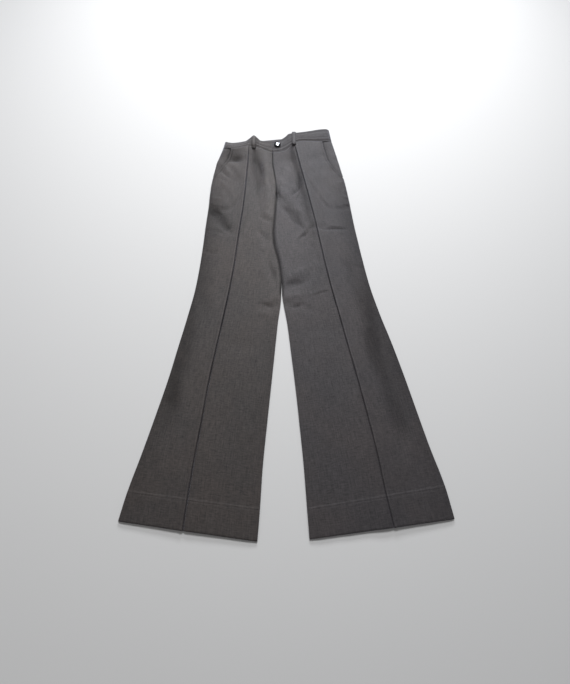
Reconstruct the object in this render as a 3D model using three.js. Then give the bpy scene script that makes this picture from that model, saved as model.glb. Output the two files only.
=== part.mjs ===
// Flared trousers laid flat, front up: two front panels over two back panels, a
// waistband in three pieces, slanted pocket facings, belt loops and a button.
// Millimetres. X runs across the waist, Y from the hems up to the waist, Z up from
// the surface that the trousers lie on. The origin is under the middle of the whole.
import * as THREE from "three";

// ---- driving sizes -------------------------------------------------------------
const CLOTH = 1.8; // thickness of one layer of cloth
const BAND_CLOTH = 2.0; // waistband, folded and pressed
const LOOP_CLOTH = 1.5;
const SEAM_GAP = 0.3; // clearance between sewn pieces
const FLOOR_LAYER = CLOTH + SEAM_GAP; // the front lies above this height
const EDGE = FLOOR_LAYER + CLOTH; // height of the front's top face at a side seam
const EDGE_ROLL = 9; // width over which a panel rolls down to its side seam
const CREASE_LIFT = 1.6; // the pressed crease stands this far above its fold
const CREASE_HALF = 4;
const HEM_DEPTH = 60; // turned-up hem
const HEM_LIFT = 0.8; // the turned-up layer thickens the hem
const HEM_AT = -18; // nominal station of the hem
const BAND_FOOT = 940; // above this station the rows bend to meet the waistband
const SEAM_AT = 1000; // nominal station of the waistband seam
const POCKET_AT = 886; // lower end of the slanted pocket
const FACING_DROP = 1.3; // the pocket facing lies this far below the front
const LOOP_WIDTH = 11;
const BUTTON_R = 10;
const BUTTON_H = 4.2;

// Each row is one section across a leg: `at` is its station, `out` the side seam,
// `in` the inseam (or the centre seam above the fork), `crease` the pressed fold.
const LEFT_OUTLINE = table("at outX outY inX inY creaseX", [
  [-18, -333, 8, -61, -35, -208],
  [40, -322, 61, -56, 21, -203],
  [120, -301, 138, -50, 102, -194],
  [200, -281, 216, -41, 183, -183],
  [280, -262, 294, -31.5, 264, -173],
  [360, -246, 372, -22, 345.5, -160],
  [440, -230, 450, -12.5, 427.5, -146],
  [520, -216, 528, -2.5, 509, -133],
  [600, -208, 606.5, -4, 591.5, -122],
  [660, -204, 665, -15, 655, -116],
  [720, -201, 722, -17, 717.5, -109.5],
  [780, -197, 780, -11.5, 780, -102.5],
  [860, -193, 860, -9, 860, -96.5],
  [940, -182, 940, -17, 940, -91.5],
]);
const RIGHT_OUTLINE = table("at outX outY inX inY creaseX", [
  [-18, 333, -7, 41.5, -34, 211],
  [40, 325.5, 53, 39.5, 18.5, 203],
  [120, 307, 134.5, 36.5, 100.5, 194],
  [200, 290.5, 217.5, 31.5, 182, 182],
  [280, 275, 296, 26, 263, 169],
  [360, 258, 373.5, 19, 345, 155],
  [440, 239, 451, 11.5, 427.5, 141],
  [520, 223.5, 529, 0.5, 509, 126.5],
  [600, 213.5, 607, -3.7, 591, 114],
  [660, 207.5, 665, -14.7, 653, 106],
  [720, 202, 722.5, -16.7, 716.5, 98],
  [780, 198, 780, -11.2, 780, 88.5],
  [860, 191, 860, -8.7, 860, 75],
  [940, 179, 940, -16.7, 940, 61],
]);

// The centre seam and, below the fork, the line on which the two legs touch.
const CENTRE_LINE = table("y x", [
  [500, -1],
  [540, 0.2],
  [591, -3.8],
  [620, -9],
  [654, -16],
  [690, -18.4],
  [717, -16.8],
  [750, -13.5],
  [780, -11.2],
  [820, -8],
  [860, -8.7],
  [900, -12.8],
  [940, -16.85],
  [1060, -16.85],
]);
const FORK_AT = 520; // the legs part below this station

// Heights of the front's top face across each section: `seam` at the inner edge,
// `core` just outside it, `valley` at `valleyAt` from the crease, `crest` under the
// crease, `flank` half way out, `rim` before the roll to the side seam.
const LEFT_RELIEF = table("at seam core valley valleyAt crest flank rim", [
  [-18, 3.9, 4.9, 5.4, 74, 7.6, 5.6, 4.9],
  [120, 3.9, 5.1, 6.0, 72, 8.6, 6.4, 5.1],
  [280, 3.9, 5.4, 6.6, 70, 9.6, 7.0, 5.4],
  [440, 3.9, 5.8, 7.0, 66, 10.6, 7.6, 5.7],
  [520, 3.9, 6.6, 7.4, 60, 11.4, 8.0, 5.9],
  [600, 4.6, 8.0, 8.2, 54, 12.4, 8.6, 6.1],
  [660, 6.5, 9.4, 9.0, 46, 13.4, 9.2, 6.3],
  [720, 9.0, 10.8, 9.6, 42, 14.6, 9.8, 6.5],
  [780, 12.0, 12.4, 9.9, 38, 15.8, 10.2, 6.9],
  [860, 12.8, 12.9, 10.0, 32, 17.2, 10.4, 7.4],
  [940, 12.6, 12.8, 9.4, 28, 18.6, 10.2, 8.0],
  [1000, 12.5, 12.8, 9.4, 28, 19.6, 12.0, 9.0],
]);
const RIGHT_RELIEF = table("at seam core valley valleyAt crest flank rim", [
  [-18, 3.9, 4.9, 5.4, 80, 7.8, 5.7, 4.9],
  [120, 3.9, 5.1, 6.0, 76, 9.0, 6.6, 5.1],
  [280, 3.9, 5.4, 6.5, 70, 10.2, 7.4, 5.4],
  [440, 3.9, 5.8, 6.8, 60, 11.6, 8.2, 5.7],
  [520, 3.9, 6.6, 6.9, 50, 13.0, 9.0, 6.0],
  [600, 4.6, 8.0, 7.2, 42, 14.6, 9.8, 6.2],
  [660, 6.5, 9.4, 7.8, 36, 16.0, 10.6, 6.4],
  [720, 9.0, 10.8, 8.4, 33, 17.6, 11.4, 6.7],
  [780, 12.0, 12.2, 8.9, 31, 19.2, 12.2, 7.2],
  [860, 13.6, 13.4, 9.4, 29, 21.2, 13.2, 8.0],
  [940, 14.6, 14.2, 9.8, 28, 23.2, 14.2, 8.8],
  [1000, 14.7, 14.4, 11.0, 28, 24.6, 15.6, 9.0],
]);

// The waistband's lower seam and its top edge, from the side in to the fly and on.
const LEFT_SEAM = table("x y z", [
  [-166, 1000, 12],
  [-148, 993, 17],
  [-127, 988, 21],
  [-89, 996, 22],
  [-57, 997, 15],
  [-38, 989, 12.8],
  [-17, 981, 12.4],
  [14, 981, 11.6],
]);
const LEFT_TOP = table("x y z", [
  [-159, 1034, 5],
  [-136, 1028, 6],
  [-99, 1030, 10],
  [-72, 1034, 15],
  [-57, 1031, 13],
  [-38, 1028, 12.4],
  [-17, 1027, 12.2],
  [14, 1027, 12],
]);
const RIGHT_SEAM = table("x y z", [
  [-16.7, 977, 14.8],
  [0, 979, 14.6],
  [17, 984, 15.2],
  [35, 994, 19],
  [50, 1004, 25],
  [66, 1012, 24],
  [111, 1015, 21],
  [140, 1024, 14],
  [164, 1033, 8],
]);
const RIGHT_TOP = table("x y z", [
  [-16.7, 1024, 14.8],
  [0, 1027, 15.2],
  [12, 1031, 16.4],
  [22, 1036, 19.5],
  [33, 1043, 24],
  [52, 1045, 26],
  [97, 1054, 25],
  [128, 1067, 20],
  [159, 1083, 9],
]);
const BACK_SEAM = table("x y", [
  [-165, 981],
  [-90, 990],
  [0, 1001],
  [90, 1015],
  [160, 1029],
]);
const BACK_TOP = table("x y", [
  [-159, 1027],
  [-90, 1036],
  [0, 1047],
  [90, 1061],
  [158, 1075],
]);

// The slanted pocket openings, from the side seam up to the waistband.
const LEFT_POCKET = table("y x", [
  [880, -193],
  [895, -185],
  [931, -162],
  [961, -146],
  [1040, -128],
]);
const RIGHT_POCKET = table("y x", [
  [874, 192],
  [902, 172],
  [924, 158],
  [957, 144],
  [1060, 128],
]);

// Soft troughs (lift below zero) and ridges of the laid cloth.
const FOLDS = table("x y toX toY width lift", [
  [-65, 972, -58, 858, 13, -2.2], // trough beside the left crease
  [-38, 978, -36, 880, 12, 1.6], // ridge beside the fly
  [-186, 768, -160, 738, 17, -1.8], // left hip dents
  [-156, 722, -138, 706, 14, -1.4],
  [-150, 962, -128, 925, 12, 1.6], // pocket mouth, left
  [27, 786, 46, 738, 14, -2.0], // hollow right of the fork
  [8, 862, 26, 800, 12, 1.4],
  [-50, 468, -12, 480, 10, -1.4], // folds across the inner thighs
  [12, 480, 60, 466, 10, -1.4],
  [95, 706, 165, 703, 8, -1.2], // crosswise line under the right hip
  [223, 520, 214, 353, 20, -1.6], // long hollow down the right flare
  [214, 353, 250, 190, 22, -1.8],
  [-224, 400, -252, 200, 20, -1.3], // and down the left one
  [-4, 838, -2, 812, 7, -3.4], // pucker at the fly's lower end
]);

// Columns across a front panel: shares of the way from the crease to each edge.
const INNER_COLUMNS = [0, 0.035, 0.1, 0.2, 0.32, 0.46, 0.6, 0.74, 0.86, 0.94, 1];
const OUTER_COLUMNS = [0, 0.03, 0.09, 0.19, 0.32, 0.46, 0.6, 0.74, 0.86, 0.94, 1];
const FRONT_STATIONS = [
  -18, 2, 22, 39, 43, 75, 110, 150, 190, 230, 270, 310, 350, 390, 430, 465, 480,
  500, 520, 550, 580, 610, 640, 670, 695, 706, 720, 740, 760, 780, 800, 820, 838,
  856, 874, 886, 900, 915, 930, 945, 960, 972, 984, 993, 1000,
];
const BACK_STATIONS = [
  -18, 60, 140, 220, 300, 380, 460, 520, 580, 640, 700, 760, 820, 880, 940, 1000,
];

// ---- tables and curves ---------------------------------------------------------
function table(columns, rows) {
  const names = columns.split(" ");
  return rows.map((row) => Object.fromEntries(names.map((n, i) => [n, row[i]])));
}

const ordered = new Map();
// The value of `column` at `key`, a monotone cubic through the table's rows.
function read(rows, keyName, column, key) {
  const id = keyName + ">" + column;
  if (!ordered.has(rows)) ordered.set(rows, new Map());
  const known = ordered.get(rows);
  if (!known.has(id)) {
    const sorted = [...rows].sort((a, b) => a[keyName] - b[keyName]);
    known.set(id, curveThrough(sorted.map((r) => [r[keyName], r[column]])));
  }
  return known.get(id)(key);
}

// Monotone cubic through knots [x, y]; the ends keep their own slope.
function curveThrough(knots) {
  const n = knots.length;
  const step = [];
  const slope = [];
  for (let i = 0; i < n - 1; i++) {
    step.push(knots[i + 1][0] - knots[i][0]);
    slope.push((knots[i + 1][1] - knots[i][1]) / step[i]);
  }
  const tangent = [slope[0]];
  for (let i = 1; i < n - 1; i++) {
    const turned = slope[i - 1] * slope[i] <= 0;
    const mean = (2 * slope[i - 1] * slope[i]) / (slope[i - 1] + slope[i]);
    tangent.push(turned ? 0 : mean);
  }
  tangent.push(slope[n - 2]);
  return (x) => {
    if (x <= knots[0][0]) return knots[0][1] + tangent[0] * (x - knots[0][0]);
    if (x >= knots[n - 1][0]) {
      return knots[n - 1][1] + tangent[n - 1] * (x - knots[n - 1][0]);
    }
    let i = 0;
    while (x > knots[i + 1][0]) i++;
    const t = (x - knots[i][0]) / step[i];
    const a = 2 * t ** 3 - 3 * t ** 2 + 1;
    const b = t ** 3 - 2 * t ** 2 + t;
    const c = -2 * t ** 3 + 3 * t ** 2;
    const d = t ** 3 - t ** 2;
    return (
      a * knots[i][1] +
      b * step[i] * tangent[i] +
      c * knots[i + 1][1] +
      d * step[i] * tangent[i + 1]
    );
  };
}

function smooth(from, to, x) {
  const t = Math.min(1, Math.max(0, (x - from) / (to - from)));
  return t * t * (3 - 2 * t);
}

function foldLift(x, y) {
  let lift = 0;
  for (const f of FOLDS) {
    const dx = f.toX - f.x;
    const dy = f.toY - f.y;
    const length = Math.hypot(dx, dy);
    const along = ((x - f.x) * dx + (y - f.y) * dy) / length;
    const off = ((x - f.x) * dy - (y - f.y) * dx) / length;
    const past = Math.max(0, -along, along - length);
    lift += f.lift * Math.exp(-((off / f.width) ** 2) - (past / (1.4 * f.width)) ** 2);
  }
  return lift;
}

// ---- the front's top face ------------------------------------------------------
const LEGS = {
  left: {
    side: -1,
    outline: LEFT_OUTLINE,
    relief: LEFT_RELIEF,
    seam: LEFT_SEAM,
    pocket: LEFT_POCKET,
  },
  right: {
    side: 1,
    outline: RIGHT_OUTLINE,
    relief: RIGHT_RELIEF,
    seam: RIGHT_SEAM,
    pocket: RIGHT_POCKET,
  },
};

// One section across a leg, with its ends, its crease and its height curves.
function section(leg, at) {
  const flat = Math.min(at, BAND_FOOT);
  const s = { at };
  for (const name of ["outX", "outY", "inX", "inY", "creaseX"]) {
    s[name] = read(leg.outline, "at", name, flat);
  }
  for (const name of ["seam", "core", "valley", "valleyAt", "crest", "flank", "rim"]) {
    s[name] = read(leg.relief, "at", name, at);
  }
  if (at >= FORK_AT) {
    const parting = 1.35 * (1 - smooth(505, 560, s.inY));
    const middle = read(CENTRE_LINE, "y", "x", s.inY);
    s.inX = middle + leg.side * (SEAM_GAP / 2 + parting);
  }
  s.bend = Math.max(0, (at - BAND_FOOT) / (SEAM_AT - BAND_FOOT));
  if (s.bend > 0) {
    const first = leg.seam[0];
    const outEnd = leg.side < 0 ? first : leg.seam[leg.seam.length - 1];
    s.outX += (outEnd.x - s.outX) * s.bend;
    const creaseEnd = leg.side < 0 ? -89 : 50;
    s.creaseX += (creaseEnd - s.creaseX) * s.bend;
  }
  const inner = Math.abs(s.creaseX - s.inX);
  const outer = Math.abs(s.outX - s.creaseX);
  s.inner = inner;
  s.outer = outer;
  s.innerHeight = curveThrough([
    [0, s.crest],
    [Math.min(s.valleyAt, inner * 0.62), s.valley],
    [inner - EDGE_ROLL, s.core],
    [inner, s.seam],
  ]);
  s.outerHeight = curveThrough([
    [0, s.crest],
    [outer / 2, s.flank],
    [outer - EDGE_ROLL, s.rim],
    [outer, EDGE],
  ]);
  return s;
}

// A point of the front's top face, `away` millimetres from the crease: below zero
// towards the inner edge, above zero towards the side seam.
function facePoint(leg, s, away) {
  const x = s.creaseX + leg.side * away;
  const share = (x - s.inX) / (s.outX - s.inX);
  let y = s.inY + (s.outY - s.inY) * share;
  let z = away < 0 ? s.innerHeight(-away) : s.outerHeight(away);
  z += CREASE_LIFT * Math.exp(-((away / CREASE_HALF) ** 2)) * smooth(-18, 60, s.at);
  if (s.bend > 0) {
    const seamX = leg.side < 0 ? Math.min(x, -17) : Math.max(x, -16.7);
    const rise = smooth(0, 1, s.bend);
    y += (read(leg.seam, "x", "y", seamX) - SEAM_GAP / 2 - BAND_FOOT) * s.bend;
    const roll = Math.min(1, Math.abs(s.outX - x) / EDGE_ROLL);
    const goal = EDGE + (read(leg.seam, "x", "z", seamX) - EDGE) * Math.sqrt(roll);
    z += (goal - z) * rise;
  }
  z += foldLift(x, y) * (1 - s.bend);
  const nearHem = 1 - smooth(HEM_AT + HEM_DEPTH - 2, HEM_AT + HEM_DEPTH + 2, s.at);
  z = Math.max(z, EDGE) + HEM_LIFT * nearHem;
  return new THREE.Vector3(x, y, z);
}

// ---- walls ---------------------------------------------------------------------
// A closed wall between two grids of the same size: `upper` faces up.
function wall(name, upper, lower, material) {
  const rows = upper.length;
  const columns = upper[0].length;
  const positions = [];
  for (const grid of [upper, lower]) {
    for (const row of grid) for (const p of row) positions.push(p.x, p.y, p.z);
  }
  const half = rows * columns;
  const top = (i, j) => i * columns + j;
  const base = (i, j) => half + top(i, j);
  const index = [];
  const quad = (a, b, c, d) => index.push(a, b, c, a, c, d);
  for (let i = 0; i < rows - 1; i++) {
    for (let j = 0; j < columns - 1; j++) {
      quad(top(i, j), top(i, j + 1), top(i + 1, j + 1), top(i + 1, j));
      quad(base(i, j), base(i + 1, j), base(i + 1, j + 1), base(i, j + 1));
    }
  }
  for (let i = 0; i < rows - 1; i++) {
    const last = columns - 1;
    quad(top(i, 0), top(i + 1, 0), base(i + 1, 0), base(i, 0));
    quad(top(i + 1, last), top(i, last), base(i, last), base(i + 1, last));
  }
  for (let j = 0; j < columns - 1; j++) {
    const last = rows - 1;
    quad(top(0, j + 1), top(0, j), base(0, j), base(0, j + 1));
    quad(top(last, j), top(last, j + 1), base(last, j + 1), base(last, j));
  }
  const a = upper[0][0];
  const across = upper[0][columns - 1].clone().sub(a);
  const along = upper[rows - 1][0].clone().sub(a);
  if (across.x * along.y - across.y * along.x < 0) {
    for (let i = 0; i < index.length; i += 3) {
      [index[i + 1], index[i + 2]] = [index[i + 2], index[i + 1]];
    }
  }
  const geometry = new THREE.BufferGeometry();
  geometry.setAttribute("position", new THREE.Float32BufferAttribute(positions, 3));
  geometry.setIndex(index);
  const mesh = new THREE.Mesh(geometry, material);
  mesh.name = name;
  return mesh;
}

const dropped = (grid, by) =>
  grid.map((row) => row.map((p) => new THREE.Vector3(p.x, p.y, p.z - by)));

// Distance from the crease to the pocket's edge on this section.
function pocketAway(leg, s) {
  let away = s.outer;
  for (let pass = 0; pass < 4; pass++) {
    const p = facePoint(leg, s, away);
    const edgeX = read(leg.pocket, "y", "x", p.y);
    away = Math.min(s.outer, Math.abs(edgeX - s.creaseX));
  }
  return away;
}

function frontPanel(name, leg, material) {
  const upper = FRONT_STATIONS.map((at) => {
    const s = section(leg, at);
    const edge = at < POCKET_AT ? s.outer : pocketAway(leg, s);
    const inner = [...INNER_COLUMNS].reverse().map((share) => -share * s.inner);
    const outer = OUTER_COLUMNS.slice(1).map((share) => share * edge);
    return [...inner, ...outer].map((away) => facePoint(leg, s, away));
  });
  return wall(name, upper, dropped(upper, CLOTH), material);
}

function facing(name, leg, material) {
  const stations = FRONT_STATIONS.filter((at) => at > POCKET_AT);
  const upper = stations.map((at) => {
    const s = section(leg, at);
    const start = pocketAway(leg, s) + SEAM_GAP;
    return [0, 0.25, 0.5, 0.75, 1].map((share) => {
      const p = facePoint(leg, s, start + (s.outer - start) * share);
      const room = Math.max(0, p.z - EDGE);
      p.z -= Math.min(FACING_DROP * (1 - share), room);
      return p;
    });
  });
  return wall(name, upper, dropped(upper, CLOTH), material);
}

function backPanel(name, leg, material) {
  const middle = SEAM_GAP / 2;
  const upper = BACK_STATIONS.map((at) => {
    const s = section(leg, at);
    return [0, 0.25, 0.5, 0.75, 1].map((share) => {
      const x = s.inX + (s.outX - s.inX) * share + leg.side * middle * (1 - share);
      let y = s.inY + (s.outY - s.inY) * share;
      y += (read(BACK_SEAM, "x", "y", x) - SEAM_GAP - BAND_FOOT) * s.bend;
      return new THREE.Vector3(x, y, CLOTH);
    });
  });
  return wall(name, upper, dropped(upper, CLOTH), material);
}

// ---- waistband -----------------------------------------------------------------
const BAND_SHARES = [0, 0.12, 0.35, 0.65, 0.88, 1];

function bandPoint(seam, top, x, share, reach) {
  const sx = x;
  const low = { y: read(seam, "x", "y", sx), z: read(seam, "x", "z", sx) };
  const high = { y: read(top, "x", "y", sx), z: read(top, "x", "z", sx) };
  const crown = 0.9 * Math.sin(Math.PI * share);
  const z = low.z + (high.z - low.z) * share + crown;
  const roll = Math.min(1, reach / EDGE_ROLL);
  return new THREE.Vector3(
    x,
    low.y + SEAM_GAP / 2 + (high.y - low.y - SEAM_GAP / 2) * share,
    EDGE + 0.2 + (z - EDGE - 0.2) * Math.sqrt(roll),
  );
}

function frontBand(name, seam, top, side, columns, material) {
  const upper = BAND_SHARES.map((share) => {
    const first = seam[side < 0 ? 0 : seam.length - 1].x;
    const second = top[side < 0 ? 0 : top.length - 1].x;
    const end = first + (second - first) * share;
    const start = side < 0 ? seam[seam.length - 1].x : seam[0].x;
    return columns.map((t) => {
      const x = start + (end - start) * t;
      return bandPoint(seam, top, x, share, Math.abs(end - x));
    });
  });
  return wall(name, upper, dropped(upper, BAND_CLOTH), material);
}

const steps = (n) => Array.from({ length: n + 1 }, (_, i) => i / n);

function backBand(name, material) {
  const upper = [0, 0.5, 1].map((share) =>
    steps(10).map((t) => {
      const from = BACK_SEAM[0].x + (BACK_TOP[0].x - BACK_SEAM[0].x) * share;
      const to = BACK_SEAM.at(-1).x + (BACK_TOP.at(-1).x - BACK_SEAM.at(-1).x) * share;
      const x = from + (to - from) * t;
      const low = read(BACK_SEAM, "x", "y", x);
      const high = read(BACK_TOP, "x", "y", x);
      return new THREE.Vector3(x, low + (high - low) * share, CLOTH);
    }),
  );
  return wall(name, upper, dropped(upper, CLOTH), material);
}

// ---- belt loops ----------------------------------------------------------------
// A strip that arches over the band: `path` gives y and z of its upper face.
function loop(name, x, path, lean, material) {
  const upper = path.map((p) =>
    [-0.5, -0.2, 0.2, 0.5].map(
      (share) =>
        new THREE.Vector3(
          x + lean * (p.y - path[0].y) + share * LOOP_WIDTH,
          p.y,
          p.z,
        ),
    ),
  );
  return wall(name, upper, dropped(upper, LOOP_CLOTH), material);
}

const LEFT_LOOP = { x: -72, lean: 0.02 };
const LEFT_LOOP_PATH = table("y z", [
  [988, 21.6],
  [992, 22.6],
  [998, 26.0],
  [1008, 28.0],
  [1020, 28.4],
  [1029, 26.5],
  [1034, 22.5],
  [1037, 19.2],
]);
const RIGHT_LOOP = { x: 47, lean: 0.02 };
const RIGHT_LOOP_PATH = table("y z", [
  [995, 27.4],
  [1000, 29.0],
  [1010, 29.6],
  [1024, 30.0],
  [1036, 29.8],
  [1042, 28.6],
  [1046, 28.2],
]);

// ---- button --------------------------------------------------------------------
function button(name, x, y, z, material) {
  const rim = [
    [0, 0],
    [BUTTON_R * 0.9, 0],
    [BUTTON_R, BUTTON_H * 0.25],
    [BUTTON_R, BUTTON_H * 0.55],
    [BUTTON_R * 0.93, BUTTON_H * 0.72],
    [BUTTON_R * 0.8, BUTTON_H * 0.76],
    [BUTTON_R * 0.62, BUTTON_H * 0.9],
    [BUTTON_R * 0.35, BUTTON_H * 0.98],
    [0, BUTTON_H],
  ].map(([r, h]) => new THREE.Vector2(r, h));
  const geometry = new THREE.LatheGeometry(rim, 28);
  geometry.rotateX(Math.PI / 2);
  const mesh = new THREE.Mesh(geometry, material);
  mesh.name = name;
  mesh.position.set(x, y, z);
  return mesh;
}

// ---- assembly ------------------------------------------------------------------
const cloth = new THREE.MeshStandardMaterial({
  color: 0x47444a,
  roughness: 0.88,
  metalness: 0,
});
const steel = new THREE.MeshStandardMaterial({
  color: 0xd8dadd,
  roughness: 0.18,
  metalness: 1,
});

const trousers = new THREE.Group();
trousers.position.y = -(LEFT_OUTLINE[0].inY + RIGHT_TOP.at(-1).y) / 2;
trousers.add(
  backPanel("back_left", LEGS.left, cloth),
  backPanel("back_right", LEGS.right, cloth),
  backBand("waistband_back", cloth),
  frontPanel("front_left", LEGS.left, cloth),
  frontPanel("front_right", LEGS.right, cloth),
  facing("pocket_facing_left", LEGS.left, cloth),
  facing("pocket_facing_right", LEGS.right, cloth),
  frontBand("waistband_front_left", LEFT_SEAM, LEFT_TOP, -1, steps(24), cloth),
  frontBand("waistband_front_right", RIGHT_SEAM, RIGHT_TOP, 1, steps(28), cloth),
  loop("belt_loop_left", LEFT_LOOP.x, LEFT_LOOP_PATH, LEFT_LOOP.lean, cloth),
  loop("belt_loop_right", RIGHT_LOOP.x, RIGHT_LOOP_PATH, RIGHT_LOOP.lean, cloth),
  button("button", -2, 1007, 16.6, steel),
);

const laid = new THREE.Group();
laid.add(trousers);

export default laid;
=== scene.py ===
import math
import bpy
from mathutils import Matrix, Vector, noise


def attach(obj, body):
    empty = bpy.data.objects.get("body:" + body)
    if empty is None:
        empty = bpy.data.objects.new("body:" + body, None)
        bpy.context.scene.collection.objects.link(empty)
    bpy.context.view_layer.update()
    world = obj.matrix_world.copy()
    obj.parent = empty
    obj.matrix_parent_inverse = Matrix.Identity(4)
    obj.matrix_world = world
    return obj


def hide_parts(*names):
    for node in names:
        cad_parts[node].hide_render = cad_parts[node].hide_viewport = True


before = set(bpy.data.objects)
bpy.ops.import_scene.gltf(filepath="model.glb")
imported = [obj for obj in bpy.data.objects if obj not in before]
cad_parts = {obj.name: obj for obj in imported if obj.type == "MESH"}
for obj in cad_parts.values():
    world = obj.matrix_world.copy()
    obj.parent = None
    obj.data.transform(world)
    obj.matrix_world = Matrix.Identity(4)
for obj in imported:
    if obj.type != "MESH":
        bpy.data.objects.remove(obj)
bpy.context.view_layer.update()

# ---- camera: solved from the photograph's ground pattern ----
mm = 0.001
middleY = 524.0   # the tables below count from the hems, the frame from the middle

view = {
    "foot": (-20.0, 76.9),     # point of the floor under the camera, mm
    "height": 779.3,
    "azimuth": 4.575,          # degrees, turned from +Y towards +X
    "below": 68.652,           # degrees below the horizon
    "roll": -3.267,
    "focal": 351.0,            # pixels of a 684 pixel long side
}


def addCamera(spec):
    data = bpy.data.cameras.new("camera")
    camera = bpy.data.objects.new("camera", data)
    bpy.context.scene.collection.objects.link(camera)
    az = math.radians(spec["azimuth"])
    below = math.radians(spec["below"])
    roll = math.radians(spec["roll"])
    ahead = Vector((math.sin(az), math.cos(az), 0))
    forward = ahead * math.cos(below) + Vector((0, 0, -math.sin(below)))
    up = ahead * math.sin(below) + Vector((0, 0, math.cos(below)))
    right = Vector((math.cos(az), -math.sin(az), 0))
    across = right * math.cos(roll) - up * math.sin(roll)
    upward = right * math.sin(roll) + up * math.cos(roll)
    turn = Matrix((across, upward, -forward)).transposed().to_4x4()
    foot = spec["foot"]
    place = Vector((foot[0] * mm, (foot[1] - middleY) * mm, spec["height"] * mm))
    camera.matrix_world = Matrix.Translation(place) @ turn
    data.sensor_fit = "AUTO"
    data.sensor_width = 36.0
    data.lens = spec["focal"] / 684.0 * 36.0
    data.clip_start = 0.01
    data.clip_end = 30.0
    bpy.context.scene.camera = camera
    return camera


addCamera(view)
print("stage camera")


# ---- curves and tables ----
def rows(columns, *lines):
    names = columns.split()
    return [dict(zip(names, line)) for line in lines]


def curveThrough(knots):
    # monotone cubic through (x, y) knots, open slopes at the ends
    count = len(knots)
    step = [knots[i + 1][0] - knots[i][0] for i in range(count - 1)]
    slope = [(knots[i + 1][1] - knots[i][1]) / step[i] for i in range(count - 1)]
    tangent = [slope[0]]
    for i in range(1, count - 1):
        a, b = slope[i - 1], slope[i]
        tangent.append(0.0 if a * b <= 0 else 2 * a * b / (a + b))
    tangent.append(slope[-1])

    def at(x):
        if x <= knots[0][0]:
            return knots[0][1] + tangent[0] * (x - knots[0][0])
        if x >= knots[-1][0]:
            return knots[-1][1] + tangent[-1] * (x - knots[-1][0])
        i = 0
        while x > knots[i + 1][0]:
            i += 1
        t = (x - knots[i][0]) / step[i]
        s = 1 - t
        head = s * s * ((1 + 2 * t) * knots[i][1] + t * step[i] * tangent[i])
        tail = t * t * ((1 + 2 * s) * knots[i + 1][1] - s * step[i] * tangent[i + 1])
        return head + tail

    return at


def curvesOf(table, key):
    ordered = sorted(table, key=lambda row: row[key])
    names = [name for name in ordered[0] if name != key]
    return {n: curveThrough([(row[key], row[n]) for row in ordered]) for n in names}


def smooth(low, high, x):
    t = min(1.0, max(0.0, (x - low) / (high - low)))
    return t * t * (3 - 2 * t)


def bell(x, width):
    return math.exp(-(x / width) ** 2)


# ---- the laid form, in millimetres ----
clothThick = 1.8
seamGap = 0.3
edgeHeight = 3.9      # top of the front where it meets the back at a side seam
edgeRoll = 9.0
hemAt, hemDepth, hemLift = -18.0, 60.0, 0.8
bandFoot, seamAt, forkAt = 940.0, 1000.0, 520.0
pocketAt = 886.0

leftOutline = curvesOf(rows("at outX outY inX inY creaseX",
    (-18, -333, 8, -61, -35, -208), (40, -322, 61, -56, 21, -203),
    (120, -301, 138, -50, 102, -194), (200, -281, 216, -41, 183, -183),
    (280, -262, 294, -31.5, 264, -173), (360, -246, 372, -22, 345.5, -160),
    (440, -230, 450, -12.5, 427.5, -146), (520, -216, 528, -2.5, 509, -133),
    (600, -208, 606.5, -4, 591.5, -122), (660, -204, 665, -15, 655, -116),
    (720, -201, 722, -17, 717.5, -109.5), (780, -197, 780, -11.5, 780, -102.5),
    (860, -193, 860, -9, 860, -96.5), (940, -182, 940, -17, 940, -91.5)), "at")
rightOutline = curvesOf(rows("at outX outY inX inY creaseX",
    (-18, 333, -7, 41.5, -34, 211), (40, 325.5, 53, 39.5, 18.5, 203),
    (120, 307, 134.5, 36.5, 100.5, 194), (200, 290.5, 217.5, 31.5, 182, 182),
    (280, 275, 296, 26, 263, 169), (360, 258, 373.5, 19, 345, 155),
    (440, 239, 451, 11.5, 427.5, 141), (520, 223.5, 529, 0.5, 509, 126.5),
    (600, 213.5, 607, -3.7, 591, 114), (660, 207.5, 665, -14.7, 653, 106),
    (720, 202, 722.5, -16.7, 716.5, 98), (780, 198, 780, -11.2, 780, 88.5),
    (860, 191, 860, -8.7, 860, 75), (940, 179, 940, -16.7, 940, 61)), "at")
centreLine = curvesOf(rows("y x",
    (500, -1), (540, 0.2), (591, -3.8), (620, -9), (654, -16), (690, -18.4),
    (717, -16.8), (750, -13.5), (780, -11.2), (820, -8), (860, -8.7),
    (900, -12.8), (940, -16.85), (1060, -16.85)), "y")
leftRelief = curvesOf(rows("at seam core valley valleyAt crest flank rim",
    (-18, 3.9, 4.9, 5.4, 74, 7.6, 5.6, 4.9), (120, 3.9, 5.1, 6.0, 72, 8.6, 6.4, 5.1),
    (280, 3.9, 5.4, 6.6, 70, 9.6, 7.0, 5.4), (440, 3.9, 5.8, 7.0, 66, 10.6, 7.6, 5.7),
    (520, 3.9, 6.6, 7.4, 60, 11.4, 8.0, 5.9), (600, 4.6, 8.0, 8.2, 54, 12.4, 8.6, 6.1),
    (660, 6.5, 9.4, 9.0, 46, 13.4, 9.2, 6.3), (720, 9.0, 10.8, 9.6, 42, 14.6, 9.8, 6.5),
    (780, 12.0, 12.4, 9.9, 38, 15.8, 10.2, 6.9), (860, 12.8, 12.9, 10.0, 32, 17.2, 10.4, 7.4),
    (940, 12.6, 12.8, 9.4, 28, 18.6, 10.2, 8.0), (1000, 12.5, 12.8, 9.4, 28, 19.6, 12.0, 9.0)),
    "at")
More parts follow.
